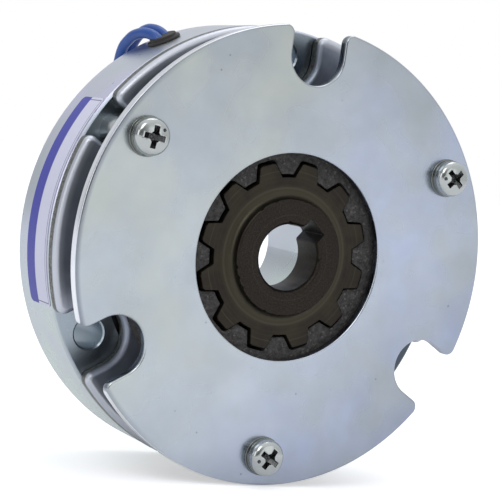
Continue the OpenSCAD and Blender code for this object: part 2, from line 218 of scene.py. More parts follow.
def zone(tree, first, second):
    """How much a point is in both of two zones, each the inputs of a Map Range."""
    return add(tree, "Math", [add(tree, "MapRange", first), add(tree, "MapRange", second)],
               operation="MULTIPLY")


# Bright zinc plating: satin and blue-grey, with a cast between green and lavender that changes along one way,
# as the passivation's thickness does, clouds of a plainer tone, tiny dark pits and a fine grain
def bright_zinc(tree, place, tone, start, end, way):
    clouds = add(tree, "TexNoise", [place, 1 / (14 * MM), 2, 0.55])
    drift = add(tree, "TexNoise", [place, 1 / (26 * MM), 1, 0.4])
    across = add(tree, "VectorMath", [place, way], operation="DOT_PRODUCT")
    slope = add(tree, "MapRange", [across, -40 * MM, 40 * MM])
    slope = add(tree, "Math", [slope, drift], operation="ADD")
    colour = mottled(tree, slope, 0.7, 1.3, start, end)
    cloudy = add(tree, "MapRange", [clouds, 0.35, 0.65])
    colour = add(tree, "Mix", [cloudy, colour, linear(tone)], data_type="RGBA")
    pits = add(tree, "TexVoronoi", [place, 1 / (4.2 * MM)])
    pit = add(tree, "MapRange", [pits, 0.03, 0.06, 0.8, 0])
    colour = add(tree, "Mix", [pit, colour, linear("#8A9099")], data_type="RGBA")
    grain = add(tree, "TexNoise", [place, 1 / (0.5 * MM), 2, 0.6])
    normal = add(tree, "Bump", {"Height": grain, "Strength": 0.12, "Distance": 0.02 * MM})
    return colour, clouds, normal


# Bright zinc on the pressed front plate, with painted light: painted shade just inside the left edge, a
# painted highlight on the sheared rim, painted shade on the back and the inner walls, and towards the top and
# lower right
def plate_zinc(tree, place):
    colour, clouds, normal = bright_zinc(tree, place, "#BBC3C9", "#BEC4C1", "#BBC4DB", (1.2, 0, -0.4))
    radius = off_axis(tree, place)[1]
    axes = add(tree, "SeparateXYZ", [place]).outputs
    rim = PLATE_R * MM
    front_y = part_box("front_plate")[0].y
    # Painted shade: a darker band just inside the rim, on the left only
    painted_edge_shade = zone(tree, [radius, rim - 1.1 * MM, rim - 0.5 * MM], [axes["X"], -36 * MM, -20 * MM, 0.6, 0])
    colour = add(tree, "Mix", [painted_edge_shade, colour, linear("#747A88")], data_type="RGBA")
    # Painted highlight on the outer rim wall
    painted_rim_highlight = add(tree, "MapRange", [radius, rim - 0.2 * MM, rim - 0.1 * MM])
    colour = add(tree, "Mix", [painted_rim_highlight, colour, linear("#F0F2F8")], data_type="RGBA")
    # Painted shade on the back face and the rear of the notch, window and hole walls
    painted_back_shade = zone(tree, [axes["Y"], front_y + 0.4 * MM, front_y + 0.6 * MM],
                [radius, rim - 0.4 * MM, rim - 0.3 * MM, 1, 0])
    colour = add(tree, "Mix", [painted_back_shade, colour, linear("#7C828C")], data_type="RGBA")
    # Painted light: lighter towards the bottom, painted shade towards the top and the lower right; the noise
    # patches mixed in after it are the plating's own uneven tone
    painted_shade_and_patches = add(tree, "MapRange", [axes["Z"], -rim, rim, 1.14, 0.92])
    for way, start, end, least in (((0.6, 0, -0.8), 16, 40, 0.67), ((-0.25, 0, 1), 8, 38, 0.86)):
        along = add(tree, "VectorMath", [place, way], operation="DOT_PRODUCT")
        painted_falloff = add(tree, "MapRange", [along, start * MM, end * MM, 1, least])
        painted_shade_and_patches = add(tree, "Math", [painted_shade_and_patches, painted_falloff], operation="MULTIPLY")
    patches = add(tree, "TexNoise", [place, 1 / (9 * MM), 3, 0.6])
    patchy = add(tree, "MapRange", [patches, 0.3, 0.7, 0.95, 1.07])
    painted_shade_and_patches = add(tree, "Math", [painted_shade_and_patches, patchy], operation="MULTIPLY")
    return add(tree, "BsdfPrincipled", {
        "Base Color": add(tree, "VectorMath", [colour, painted_shade_and_patches], operation="SCALE"), "Metallic": 1,
        "Roughness": add(tree, "MapRange", [clouds, 0.3, 0.7, 0.2, 0.32]), "Normal": normal,
    })


# Bright zinc on the turned field: fine lines round the axis, a ground front face painted darker as shade
# behind the armature, more so towards the right, and painted shade in the bolt holes
def field_zinc(tree, place):
    colour, clouds, normal = bright_zinc(tree, place, "#C6CCD2", "#CACBE2", "#C4D2C8", (0, 0, -1.5))
    flat = off_axis(tree, place)[0]
    axes = add(tree, "SeparateXYZ", [place]).outputs
    front_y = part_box("field_core")[0].y
    # Painted shade on the front face behind the armature, darker towards the right
    ground_face_shade = mottled(tree, axes["X"], -12 * MM, 25 * MM, "#A8B3BB", "#565E66")
    front = add(tree, "MapRange", [axes["Y"], front_y + 0.1 * MM, front_y + 0.3 * MM, 1, 0])
    colour = add(tree, "Mix", [front, colour, ground_face_shade], data_type="RGBA")
    # Painted shade inside the mounting holes
    for angle in MOUNT_ANGLES:
        off = add(tree, "VectorMath", [flat, on_bolt_circle(angle)], operation="DISTANCE")
        hole = add(tree, "MapRange", [off, (MOUNT_HOLE_R + 0.05) * MM, (MOUNT_HOLE_R + 0.15) * MM, 0.9, 0])
        colour = add(tree, "Mix", [hole, colour, linear("#8494A0")], data_type="RGBA")
    normal = add(tree, "Bump", {
        "Height": turning_lines(tree, place, 0.25, 2, 0.7), "Strength": 0.25, "Distance": 0.03 * MM,
        "Normal": normal,
    })
    return add(tree, "BsdfPrincipled", {
        "Base Color": colour, "Metallic": 1,
        "Roughness": add(tree, "MapRange", [clouds, 0.3, 0.7, 0.22, 0.34]), "Normal": normal,
    })


# Dull zinc on the ground armature: greyer and rougher, so that light reaches into the gap, with a painted
# highlight along its front edge, and dark mottling and turning lines on its rim
def dull_zinc(tree, place):
    clouds = add(tree, "TexNoise", [place, 1 / (7 * MM), 3, 0.6])
    colour = mottled(tree, clouds, 0.3, 0.7, "#8A93A0", "#A6ABB8")
    spots = add(tree, "TexNoise", [place, 1 / (0.5 * MM), 3, 0.7])
    spotted = mottled(tree, spots, 0.35, 0.65, "#3A3B3A", "#85857F")
    radius = off_axis(tree, place)[1]
    depth = add(tree, "SeparateXYZ", [place]).outputs["Y"]
    front_y, back_y = (corner.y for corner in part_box("armature"))
    # Painted highlight on the rounded front edge and the outer band of the front face
    edge = zone(tree, [radius, (ARMATURE_R - 2.0) * MM, (ARMATURE_R - 0.9) * MM],
                [depth, front_y + 0.8 * MM, front_y + 1.0 * MM, 1, 0])
    colour = add(tree, "Mix", [edge, colour, linear("#D0D4DC")], data_type="RGBA")
    rim = zone(tree, [depth, front_y + 0.95 * MM, front_y + 1.15 * MM],
               [depth, back_y - 0.15 * MM, back_y - 0.05 * MM, 1, 0])
    colour = add(tree, "Mix", [rim, colour, spotted], data_type="RGBA")
    grain = add(tree, "TexNoise", [place, 1 / (0.35 * MM), 3, 0.6])
    normal = add(tree, "Bump", {"Height": grain, "Strength": 0.5, "Distance": 0.04 * MM})
    normal = add(tree, "Bump", {
        "Height": turning_lines(tree, place, 0.3, 1, 0.6), "Strength": 0.2, "Distance": 0.03 * MM,
        "Normal": normal,
    })
    return add(tree, "BsdfPrincipled", {
        "Base Color": colour, "Metallic": 0.75,
        "Roughness": add(tree, "MapRange", [clouds, 0.3, 0.7, 0.36, 0.46]), "Normal": normal,
    })


# Nickel plated cold-headed steel: warm, bright and smooth on the screws, painted darker as shade on the
# washers
def nickel_plating(tree, place, tone):
    grain = add(tree, "TexNoise", [place, 1 / (0.7 * MM), 2, 0.5])
    return add(tree, "BsdfPrincipled", {
        "Base Color": linear(tone), "Metallic": 1,
        "Roughness": add(tree, "MapRange", [grain, 0.3, 0.7, 0.12, 0.2]),
        "Normal": add(tree, "Bump", {"Height": grain, "Strength": 0.12, "Distance": 0.02 * MM}),
    })


# The same plating painted dark and uneven as shade in the cross recess, its cone and the dimple
def painted_recess_shade(tree, place):
    grain = add(tree, "TexNoise", [place, 1 / (0.3 * MM), 2, 0.5])
    return add(tree, "BsdfPrincipled", {
        "Base Color": add(tree, "Mix", [grain, linear("#202123"), linear("#6A6B6B")], data_type="RGBA"),
        "Metallic": 0.9, "Roughness": 0.22,
        "Normal": add(tree, "Bump", {"Height": grain, "Strength": 0.2, "Distance": 0.03 * MM}),
    })


# Black oxide on turned steel, oiled: brown-black, painted darker on the boss as shade, with a painted olive
# highlight round it, and the turning tool's rings on its faces, some of them painted brighter as highlights
def black_oxide(tree, place):
    radius = off_axis(tree, place)[1]
    clouds = add(tree, "TexNoise", [place, 1 / (5 * MM), 3, 0.6])
    colour = mottled(tree, clouds, 0.35, 0.7, "#2E2A26", "#3E392F")
    specks = add(tree, "TexNoise", [place, 1 / (0.3 * MM), 2, 0.6])
    # Painted shade on the boss
    painted_boss_shade = mottled(tree, specks, 0.4, 0.7, "#292420", "#39332D")
    past_boss = add(tree, "MapRange", [radius, 10.2 * MM, 10.6 * MM])
    colour = add(tree, "Mix", [past_boss, painted_boss_shade, colour], data_type="RGBA")
    # Painted highlight: an olive ring on the fillet round the boss
    painted_ring_highlight = zone(tree, [radius, 10.5 * MM, 11.2 * MM], [radius, 11.6 * MM, 13.2 * MM, 1, 0])
    colour = add(tree, "Mix", [painted_ring_highlight, colour, linear("#464236")], data_type="RGBA")
    # Painted highlights on some of the turning rings
    uneven = add(tree, "TexNoise", [radius, 1 / (0.8 * MM), 2], noise_dimensions="1D")
    painted_ring_glints = add(tree, "MapRange", [uneven, 0.58, 0.68, 0, 0.25])
    colour = add(tree, "Mix", [painted_ring_glints, colour, linear("#5E5A4C")], data_type="RGBA")
    rings = add(tree, "Math", [radius, 2 * math.pi / (0.35 * MM)], operation="MULTIPLY")
    rings = add(tree, "Math", [rings], operation="SINE")
    grain = add(tree, "TexNoise", [place, 1 / (0.4 * MM), 3, 0.6])
    normal = add(tree, "Bump", {"Height": rings, "Strength": 0.2, "Distance": 0.012 * MM})
    normal = add(tree, "Bump", {"Height": grain, "Strength": 0.25, "Distance": 0.03 * MM, "Normal": normal})
    return add(tree, "BsdfPrincipled", {
        "Base Color": colour, "Metallic": 0.85,
        "Roughness": add(tree, "MapRange", [clouds, 0.3, 0.7, 0.34, 0.5]), "Normal": normal,
    })


# Moulded friction material: dark grey resin with mineral and metal grains, quite matt
def friction_lining(tree, place):
    grains = add(tree, "TexVoronoi", [place, 1 / (0.34 * MM)])
    blotches = add(tree, "TexNoise", [place, 1 / (0.9 * MM), 4, 0.75])
    colour = mottled(tree, blotches, 0.35, 0.65, "#2C2A29", "#54514F")
    chance = add(tree, "SeparateColor", [grains.outputs["Color"]])
    bright = add(tree, "MapRange", [chance, 0.93, 0.97])
    colour = add(tree, "Mix", [bright, colour, linear("#625F5B")], data_type="RGBA")
    return add(tree, "BsdfPrincipled", {
        "Base Color": colour, "Roughness": 0.85,
        "Normal": add(tree, "Bump", {"Height": grains, "Strength": 0.6, "Distance": 0.12 * MM}),
    })


# Extruded vinyl insulation: smooth, slightly glossy, a little uneven
def vinyl_insulation(tree, place):
    uneven = add(tree, "TexNoise", [place, 1 / (3 * MM), 2, 0.5])
    colour = bpy.context.scene.brake_finish.lead_colour
    return add(tree, "BsdfPrincipled", {
        "Base Color": add(tree, "Mix", [uneven, colour, linear("#305CAA")], data_type="RGBA"),
        "Roughness": 0.32, "IOR": 1.53,
        "Normal": add(tree, "Bump", {"Height": uneven, "Strength": 0.1, "Distance": 0.05 * MM}),
    })


# Moulded rubber: near black, matt, with a fine grain
def moulded_rubber(tree, place):
    grain = add(tree, "TexNoise", [place, 1 / (0.3 * MM), 3, 0.6])
    return add(tree, "BsdfPrincipled", {
        "Base Color": linear("#2C2926"), "Roughness": 0.62, "IOR": 1.52,
        "Normal": add(tree, "Bump", {"Height": grain, "Strength": 0.3, "Distance": 0.03 * MM}),
    })


# Moulded nylon or cast resin: one colour, with an uneven gloss
def cast_resin(tree, place, colour, roughness):
    uneven = add(tree, "TexNoise", [place, 1 / (2 * MM), 3, 0.5])
    return add(tree, "BsdfPrincipled", {
        "Base Color": linear(colour), "IOR": 1.5,
        "Roughness": add(tree, "MapRange", [uneven, 0.3, 0.7, roughness, roughness + 0.12]),
        "Normal": add(tree, "Bump", {"Height": uneven, "Strength": 0.2, "Distance": 0.05 * MM}),
    })


# Bare drawn metal, such as spring wire, tinned strands and enamelled copper: bright, slightly streaky
def drawn_wire(tree, place, colour, roughness):
    streaks = add(tree, "TexNoise", [place, 1 / (0.4 * MM), 2, 0.5])
    return add(tree, "BsdfPrincipled", {
        "Base Color": linear(colour), "Metallic": 1,
        "Roughness": add(tree, "MapRange", [streaks, 0.3, 0.7, roughness, roughness + 0.1]),
        "Normal": add(tree, "Bump", {"Height": streaks, "Strength": 0.1, "Distance": 0.02 * MM}),
    })


# Printed polyester film: silvery white with a slight gloss, a fine dark frame line, and a plain
# blue-violet band along its rear edge. Its UV map is in millimetres, round the rim and across it.
def label_film(tree, _):
    axes = add(tree, "SeparateXYZ", [add(tree, "UVMap", uv_map="film")]).outputs
    insets = []
    for axis, half in (("X", LABEL_LENGTH / 2), ("Y", LABEL_W / 2)):
        off_middle = add(tree, "Math", [axes[axis], half], operation="SUBTRACT")
        off_middle = add(tree, "Math", [off_middle], operation="ABSOLUTE")
        insets.append(add(tree, "Math", [half, off_middle], operation="SUBTRACT"))
    inset = add(tree, "Math", insets, operation="MINIMUM")
    line = zone(tree, [inset, 0.42, 0.5], [inset, 0.6, 0.68, 1, 0])
    colour = add(tree, "Mix", [line, linear("#D8D8EC"), linear("#5A5878")], data_type="RGBA")
    band = add(tree, "MapRange", [axes["Y"], 3.75, 3.65])
    colour = add(tree, "Mix", [band, colour, bpy.context.scene.brake_finish.band_colour], data_type="RGBA")
    return add(tree, "BsdfPrincipled", {"Base Color": colour, "Roughness": 0.38, "IOR": 1.5})


# White studio floor: plain paint, with a glow for the camera and a weaker one for mirror images
def studio_floor(tree, _):
    rays = add(tree, "LightPath").outputs
    plain = add(tree, "BsdfDiffuse", {"Color": linear("#E6E7EA")})
    seen = add(tree, "Math", [
        add(tree, "Math", [rays["Is Camera Ray"], 0.5], operation="MULTIPLY"),
        add(tree, "Math", [rays["Is Glossy Ray"], 0.12], operation="MULTIPLY"),
    ], operation="MAXIMUM")
    return add(tree, "AddShader", [plain, add(tree, "Emission", [(1, 1, 1, 1), seen])])


# Each finish's function, and what it takes beside the nodes and a point's place
FINISHES = {
    "bright_zinc_on_pressed_plate": (plate_zinc,),
    "bright_zinc_on_turned_field": (field_zinc,),
    "dull_zinc_on_armature": (dull_zinc,),
    "polished_nickel_on_screws": (nickel_plating, "#BFC3C1"),
    # Painted shade: the washers' darker tone stands for the shade under the screw heads
    "nickel_with_painted_shade_on_washers": (nickel_plating, "#868985"),
    "nickel_with_painted_recess_shade": (painted_recess_shade,),
    "black_oxide_on_turned_steel": (black_oxide,),
    "moulded_friction_lining": (friction_lining,),
    "blue_vinyl_insulation": (vinyl_insulation,),
    "black_moulded_rubber": (moulded_rubber,),
    "natural_nylon": (cast_resin, "#DCD8CC", 0.4),
    "glass_filled_nylon": (cast_resin, "#D8D0B4", 0.45),
    "black_potting_resin": (cast_resin, "#141416", 0.25),
    "enamelled_copper_wire": (drawn_wire, "#A85A2C", 0.3),
    "tinned_copper_strands": (drawn_wire, "#C8C6C2", 0.25),
    "drawn_spring_steel": (drawn_wire, "#8C8E92", 0.3),
    "printed_polyester_film": (label_film,),
    "white_studio_floor": (studio_floor,),
}

# The finish of each CAD node, by its name without its number
CAD_FINISHES = {
    "field_core": "bright_zinc_on_turned_field", "coil_bobbin": "glass_filled_nylon",
    "coil_winding": "enamelled_copper_wire", "coil_potting": "black_potting_resin",
    "torque_spring": "drawn_spring_steel", "armature": "dull_zinc_on_armature",
    "rotor": "moulded_friction_lining", "hub": "black_oxide_on_turned_steel",
    "front_plate": "bright_zinc_on_pressed_plate", "spacer": "polished_nickel_on_screws",
    "plate_screw": "polished_nickel_on_screws", "spring_washer": "nickel_with_painted_shade_on_washers",
    "plain_washer": "nickel_with_painted_shade_on_washers", "lead_grommet": "black_moulded_rubber",
    "lead": "blue_vinyl_insulation", "lead_coil": "blue_vinyl_insulation",
    "lead_tips": "tinned_copper_strands", "label": "printed_polyester_film",
}


def finish(name):
    """The material of that name, made when it is first asked for."""
    material = bpy.data.materials.get(name)
    if not material:
        material = bpy.data.materials.new(name)
        material.use_nodes = True
        tree = material.node_tree
        tree.nodes.clear()
        make_shader, *settings = FINISHES[name]
        shader = make_shader(tree, add(tree, "TexCoord").outputs["Object"], *settings)
        add(tree, "OutputMaterial", [shader])
    return material


def paint(piece, material):
    """Gives the whole piece one material."""
    piece.data.materials.clear()
    piece.data.materials.append(material)


def on_bolt_circle(angle):
    """The point at that angle on the circle that the mounting holes and the plate screws share."""
    turn = math.radians(angle)
    return Vector((BOLT_R * math.cos(turn) * MM, 0, BOLT_R * math.sin(turn) * MM))


def smooth_path(points, steps=3):
    """Points along the smooth curve through a few given ones."""
    ends = [2 * Vector(points[0]) - Vector(points[1])] + [Vector(p) for p in points]
    ends.append(2 * ends[-1] - ends[-2])
    path = []
    for a, b, c, d in zip(ends, ends[1:], ends[2:], ends[3:]):
        for step in range(steps):
            t = step / steps
            path.append(0.5 * (2 * b + (c - a) * t + (2 * a - 5 * b + 4 * c - d) * t * t
                               + (3 * b - a - 3 * c + d) * t ** 3))
    path.append(ends[-2])
    return path


def lead_path(lead):
    """Route, turns of the coil and free end of one lead."""
    path = smooth_path(lead["route"])
    top = path[-1].z
    count = round(lead["turns"] * COIL_TURN_STEPS)
    for step in range(1, count + 1):
        angle = math.pi - 2 * math.pi * lead["turns"] * step / count
        path.append(Vector((COIL_CENTRE[0] + lead["radius"] * math.cos(angle),
                            COIL_CENTRE[1] + lead["radius"] * math.sin(angle),
                            top + (COIL_END_Z - top) * step / count)))
    count = round(lead["free"] / FREE_END_STEP)
    for step in range(1, count + 1):
        path.append(Vector((COIL_CENTRE[0] + lead["radius"], COIL_CENTRE[1] - lead["free"] * step / count,
                            COIL_END_Z)))
    return path


def make_curve(name, path, radius):
    """Round wire along a path, as a curve."""
    data = bpy.data.curves.new(name, "CURVE")
    data.dimensions = "3D"
    data.bevel_depth = radius
    data.bevel_resolution = 6
    data.use_fill_caps = True
    spline = data.splines.new("POLY")
    spline.points.add(len(path) - 1)
    for point, place in zip(spline.points, path):
        point.co = (*place, 1.0)
    spline.use_smooth = True
    piece = bpy.data.objects.new(name, data)
    bpy.context.scene.collection.objects.link(piece)
    return piece


def deselect():
    """Leaves edit mode and deselects every piece."""
    if bpy.context.object and bpy.context.object.mode != "OBJECT":
        bpy.ops.object.mode_set(mode="OBJECT")
    bpy.ops.object.select_all(action="DESELECT")


def select_only(*pieces):
    """Selects those pieces and makes the first one active."""
    deselect()
    for piece in pieces:
        piece.select_set(True)
    bpy.context.view_layer.objects.active = pieces[0]


def edit(piece):
    """Opens a piece in edit mode, selected all over."""
    select_only(piece)
    bpy.ops.object.mode_set(mode="EDIT")
    bpy.ops.mesh.select_all(action="SELECT")


def apply_modifier(piece, kind, **settings):
    """Adds a modifier to a piece and applies it."""
    select_only(piece)
    modifier = piece.modifiers.new(kind.lower(), kind)
    for key, value in settings.items():
        setattr(modifier, key, value)
    bpy.ops.object.modifier_apply(modifier=modifier.name)


def copied(name, source):
    """A copy of a piece, with its own mesh."""
    piece = bpy.data.objects.new(name, source.data.copy())
    bpy.context.scene.collection.objects.link(piece)
    return piece


def start_drawing(name, place):
    """A new piece in edit mode that is one selected point, from which an outline is drawn."""
    deselect()
    bpy.ops.mesh.primitive_plane_add(size=MM, location=place)
    bpy.ops.object.transform_apply()
    piece = bpy.context.object
    piece.name = piece.data.name = name
    bpy.ops.object.mode_set(mode="EDIT")
    bpy.ops.mesh.select_all(action="SELECT")
    bpy.ops.mesh.merge(type="CENTER")
    return piece


def draw(place, heading, moves, across=X_AXIS, up=Z_AXIS):
    """Draws on from the selected point, in the plane of two directions. A move is a straight length, or
    an arc's radius and the degrees that it turns to the left. Returns where it ends."""
    place = Vector(place)
    for length, turn in moves:
        angle = math.radians(heading)
        forward = across * math.cos(angle) + up * math.sin(angle)
        if not turn:
            bpy.ops.mesh.extrude_region_move(TRANSFORM_OT_translate={"value": forward * length})
            place = place + forward * length
            continue
        left = up * math.cos(angle) - across * math.sin(angle)
        centre = place + left * math.copysign(length, turn)
        chord = math.sqrt(8 * length * SAGITTA)
        steps = max(2, math.ceil(math.radians(abs(turn)) * length / chord))
        # Spin turns the other way round its axis than a right hand does
        bpy.ops.mesh.spin(steps=steps, angle=math.radians(turn), center=centre, axis=up.cross(across))
        heading += turn
        angle = math.radians(heading)
        place = centre - (up * math.cos(angle) - across * math.sin(angle)) * math.copysign(length, turn)
    return place


def weld():
    """Merges the points that meet in the piece being edited."""
    bpy.ops.mesh.select_all(action="SELECT")
    bpy.ops.mesh.remove_doubles(threshold=WELD)


def extrude(way):
    """Extrudes what is selected in the piece being edited, by that way."""
    bpy.ops.mesh.extrude_region_move(TRANSFORM_OT_translate={"value": way})


def face_outwards():
    """Turns all faces of the piece being edited outwards, and leaves edit mode."""
    bpy.ops.mesh.select_all(action="SELECT")
    bpy.ops.mesh.normals_make_consistent(inside=False)
    bpy.ops.object.mode_set(mode="OBJECT")


def cut(piece, cutter):
    """Takes the cutter out of the piece and removes it."""
    apply_modifier(piece, "BOOLEAN", object=cutter, operation="DIFFERENCE", solver="EXACT",
                   material_mode="TRANSFER")
    bpy.data.objects.remove(cutter)


def drill(piece, place, diameter):
    """Drills a round hole along Y, right through the piece."""
    deselect()
    heights = [point.co.y for point in piece.data.vertices]
    low, high = min(heights), max(heights)
    sides = 16 * math.ceil(math.sqrt(diameter))
    bpy.ops.mesh.primitive_cylinder_add(
        vertices=sides, radius=diameter / 2 * MM, depth=high - low + 2 * OVERRUN * MM,
        location=(place.x, (low + high) / 2, place.z), rotation=(math.pi / 2, 0, 0))
    cut(piece, bpy.context.object)


def round_edges(piece, width, segments=3, angle=40):
    """Rounds the sharp edges and keeps the flat faces flat in the light."""
    apply_modifier(piece, "BEVEL", width=width * MM, segments=segments, limit_method="ANGLE",
                   angle_limit=math.radians(angle), use_clamp_overlap=False, miter_outer="MITER_ARC")
    bpy.ops.object.shade_smooth_by_angle(angle=math.radians(40))
    apply_modifier(piece, "WEIGHTED_NORMAL", keep_sharp=True)


def round_face_edges(piece, y, width, segments):
    """Rounds the sharp edges of the face at y."""
    mesh = piece.data
    normals = {}
    for face in mesh.polygons:
        for key in face.edge_keys:
            normals.setdefault(key, []).append(face.normal)
    for group in (mesh.vertices, mesh.edges, mesh.polygons):
        group.foreach_set("select", [False] * len(group))
    for edge in mesh.edges:
        sides = normals[edge.key]
        at_y = all(abs(mesh.vertices[i].co.y - y) < WELD for i in edge.key)
        edge.select = at_y and len(sides) == 2 and sides[0].angle(sides[1]) > math.radians(40)
    select_only(piece)
    bpy.ops.object.mode_set(mode="EDIT")
    bpy.ops.mesh.select_mode(type="EDGE")
    bpy.ops.mesh.bevel(offset=width * MM, segments=segments, affect="EDGES", clamp_overlap=False)
    bpy.ops.mesh.select_mode(type="VERT")
    bpy.ops.object.mode_set(mode="OBJECT")


def softened(node, name, width):
    """A copy of a CAD piece with rounded edges, which stands for it."""
    piece = copied(name, NODES[node])
    edit(piece)
    bpy.ops.mesh.remove_doubles(threshold=WELD / 10)
    bpy.ops.mesh.dissolve_limited(angle_limit=math.radians(1))
    bpy.ops.object.mode_set(mode="OBJECT")
    round_edges(piece, width, segments=2, angle=50)
    return piece


def place_piece(piece, body, slot, finish_name, *nodes):
    """Gives a new piece its finish, unless it has one, and has it stand for its CAD nodes."""
    if finish_name:
        paint(piece, finish(finish_name))
    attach(piece, body)
    if nodes:
        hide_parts(*nodes)


def rim_gap(radius, direction, width, foot_r):
    """A gap with parallel sides in a disc's rim: its direction, how far it reaches round the rim, and the
    moves that draw it."""
    half = width / 2
    inner = radius - MOUTH_ROUND
    reach = math.degrees(math.asin((half + MOUTH_ROUND) / inner))
    side = math.sqrt(inner ** 2 - (half + MOUTH_ROUND) ** 2) - foot_r
    mouth = (MOUTH_ROUND * MM, 90 + reach)
    return direction, reach, [mouth, (side * MM, 0), (half * MM, -180), (side * MM, 0), mouth]


def rim_disc(name, radius, front_y, back_y, gaps):
    """A disc along Y with gaps in its rim."""
    gaps = sorted(rim_gap(radius, *gap) for gap in gaps)
    start = gaps[0][0] + gaps[0][1]
    place = Vector((radius * math.cos(math.radians(start)) * MM, back_y,
                    radius * math.sin(math.radians(start)) * MM))
    moves, angle = [], start
    for direction, reach, shape in gaps[1:] + gaps[:1]:
        rim_turn = (direction - reach - angle) % 360
        moves += [(radius * MM, rim_turn)] + shape
        angle = direction + reach
    piece = start_drawing(name, place)
    draw(place, start + 90, moves)
    weld()
    bpy.ops.mesh.edge_face_add()
    extrude((0, front_y - back_y, 0))
    face_outwards()
    return piece


def recess_wing(angle, top):
    """Cutter for two opposite arms of a cross recess, narrower and deeper towards the middle."""
    foot, mouth = top - RECESS_DEPTH, top - RECESS_MOUTH_DEPTH
    place = Vector((-RECESS_FOOT * MM, -foot * MM, 0))
    cutter = start_drawing("recess_cutter", place)
    for x, height in (
        (RECESS_FOOT, foot), (RECESS_REACH, mouth), (RECESS_REACH, top + OVERRUN / 2),
        (-RECESS_REACH, top + OVERRUN / 2), (-RECESS_REACH, mouth),
    ):
        target = Vector((x * MM, -height * MM, 0))
        extrude(target - place)
        place = target
    bpy.ops.mesh.select_all(action="SELECT")
    bpy.ops.mesh.edge_face_add()
    bpy.ops.mesh.select_all(action="SELECT")
    bpy.ops.transform.translate(value=(0, 0, -RECESS_WIDTH / 2 * MM))
    extrude((0, 0, RECESS_WIDTH * MM))
    face_outwards()
    cutter.rotation_euler.y = math.radians(angle)
    return cutter


def loop_round(name, x, centres, radius, width):
    """A closed band of that width along X, wound tight round circles in a YZ plane."""
    centres = [Vector((x, y * MM, z * MM)) for y, z in centres]
    legs = [b - a for a, b in zip(centres, centres[1:] + centres[:1])]
    headings = [math.degrees(math.atan2(leg.z, leg.y)) for leg in legs]
    moves = []
    for number, leg in enumerate(legs):
        turn = (headings[(number + 1) % len(legs)] - headings[number]) % 360
        moves += [(leg.length, 0), (radius * MM, turn)]
    first = math.radians(headings[0])
    start = centres[0] + Vector((0, math.sin(first), -math.cos(first))) * radius * MM
    start.x -= width / 2 * MM
    band = start_drawing(name, start)
    draw(start, headings[0], moves, Y_AXIS, Z_AXIS)
    weld()
    extrude((width * MM, 0, 0))
    face_outwards()
    return band


def rounded_block(centre, size, edge):
    """A block with rounded edges, in millimetres."""
    deselect()
    bpy.ops.mesh.primitive_cube_add(size=1, location=[c * MM for c in centre])
    block = bpy.context.object
    block.scale = [side * MM for side in size]
    bpy.ops.object.transform_apply()
    apply_modifier(block, "BEVEL", width=edge * MM, segments=3)
    return block


class BrakeFinish(bpy.types.PropertyGroup):
    lead_diameter: bpy.props.FloatProperty(
        name="Lead Diameter", description="Diameter of a lead over its insulation",
        default=0.002, unit="LENGTH")
    plate_edge: bpy.props.FloatProperty(
        name="Plate Edge", description="Radius of the front plate's edges",
        default=0.0004, unit="LENGTH")
    armature_edge: bpy.props.FloatProperty(
        name="Armature Edge", description="Radius of the armature's front edges",
        default=0.0011, unit="LENGTH")
    lead_colour: bpy.props.FloatVectorProperty(
        name="Lead Colour", description="Darker of the two blues of the leads' insulation",
        default=linear("#274C96"), size=4, min=0, max=1, subtype="COLOR")
    band_colour: bpy.props.FloatVectorProperty(
        name="Band Colour", description="Colour of the band along the label's rear edge",
        default=linear("#2A2EA4"), size=4, min=0, max=1, subtype="COLOR")


class BrakeCamera(bpy.types.Operator):
    """Adds the camera at the photograph's place"""
    bl_idname = "brake.camera"
    bl_label = "Camera"

    def execute(self, context):
        data = bpy.data.cameras.new("camera")
        data.lens = 121.49
        data.sensor_width = 36
        data.clip_start = 0.01
        camera = bpy.data.objects.new("camera", data)
        # Place and direction are those at which the round edges look as in the photograph
        right, up = Vector((0.8666, -0.4788, 0.1407)), Vector((-0.0934, 0.1212, 0.9882))
        back = right.cross(up).normalized()
        right = up.cross(back).normalized()
        turn = Matrix((right, back.cross(right), back)).transposed().to_4x4()
        camera.matrix_world = Matrix.Translation((-0.15409, -0.28555, 0.01859)) @ turn
        context.scene.collection.objects.link(camera)
        context.scene.camera = camera
        return {"FINISHED"}


class BrakeTips(bpy.types.Operator):
    """Adds the twisted, tinned strands at the leads' stripped ends"""
    bl_idname = "brake.tips"
    bl_label = "Stripped Ends"

    def execute(self, context):
        # One strand in the middle and six round it, each a ring of points that is then drawn out and twisted
        strand = {"vertices": 10, "radius": STRAND_R * MM, "rotation": (math.pi / 2, 0, 0)}
        deselect()
        bpy.ops.mesh.primitive_circle_add(**strand)
        tips = bpy.context.object
        tips.name = tips.data.name = "tinned_ends"
        bpy.ops.object.transform_apply()
        bpy.ops.object.mode_set(mode="EDIT")
        for number in range(1, 7):
            angle, off = math.radians(60 * number), STRAND_RING_R * MM
            bpy.ops.mesh.primitive_circle_add(
                **strand, location=(off * math.cos(angle), 0, off * math.sin(angle)))
        apply_modifier(tips, "SCREW", axis="Y", angle=math.radians(STRAND_TWIST),
                       screw_offset=-TIP_LENGTH * MM, steps=24, render_steps=24, use_merge_vertices=False)
        edit(tips)
        bpy.ops.mesh.fill_holes(sides=0)
        face_outwards()
        bpy.ops.object.shade_smooth_by_angle(angle=math.radians(50))
        second = copied("tinned_end_2", tips)
        for piece, lead in zip((tips, second), LEADS):
            start_y = COIL_CENTRE[1] - lead["free"] + TIP_INSIDE * MM
            piece.data.transform(Matrix.Translation((COIL_CENTRE[0] + lead["radius"], start_y, COIL_END_Z)))
        select_only(tips, second)
        bpy.ops.object.join()
        place_piece(tips, "field", "tinned_copper", "tinned_copper_strands", "lead_tips")
        return {"FINISHED"}


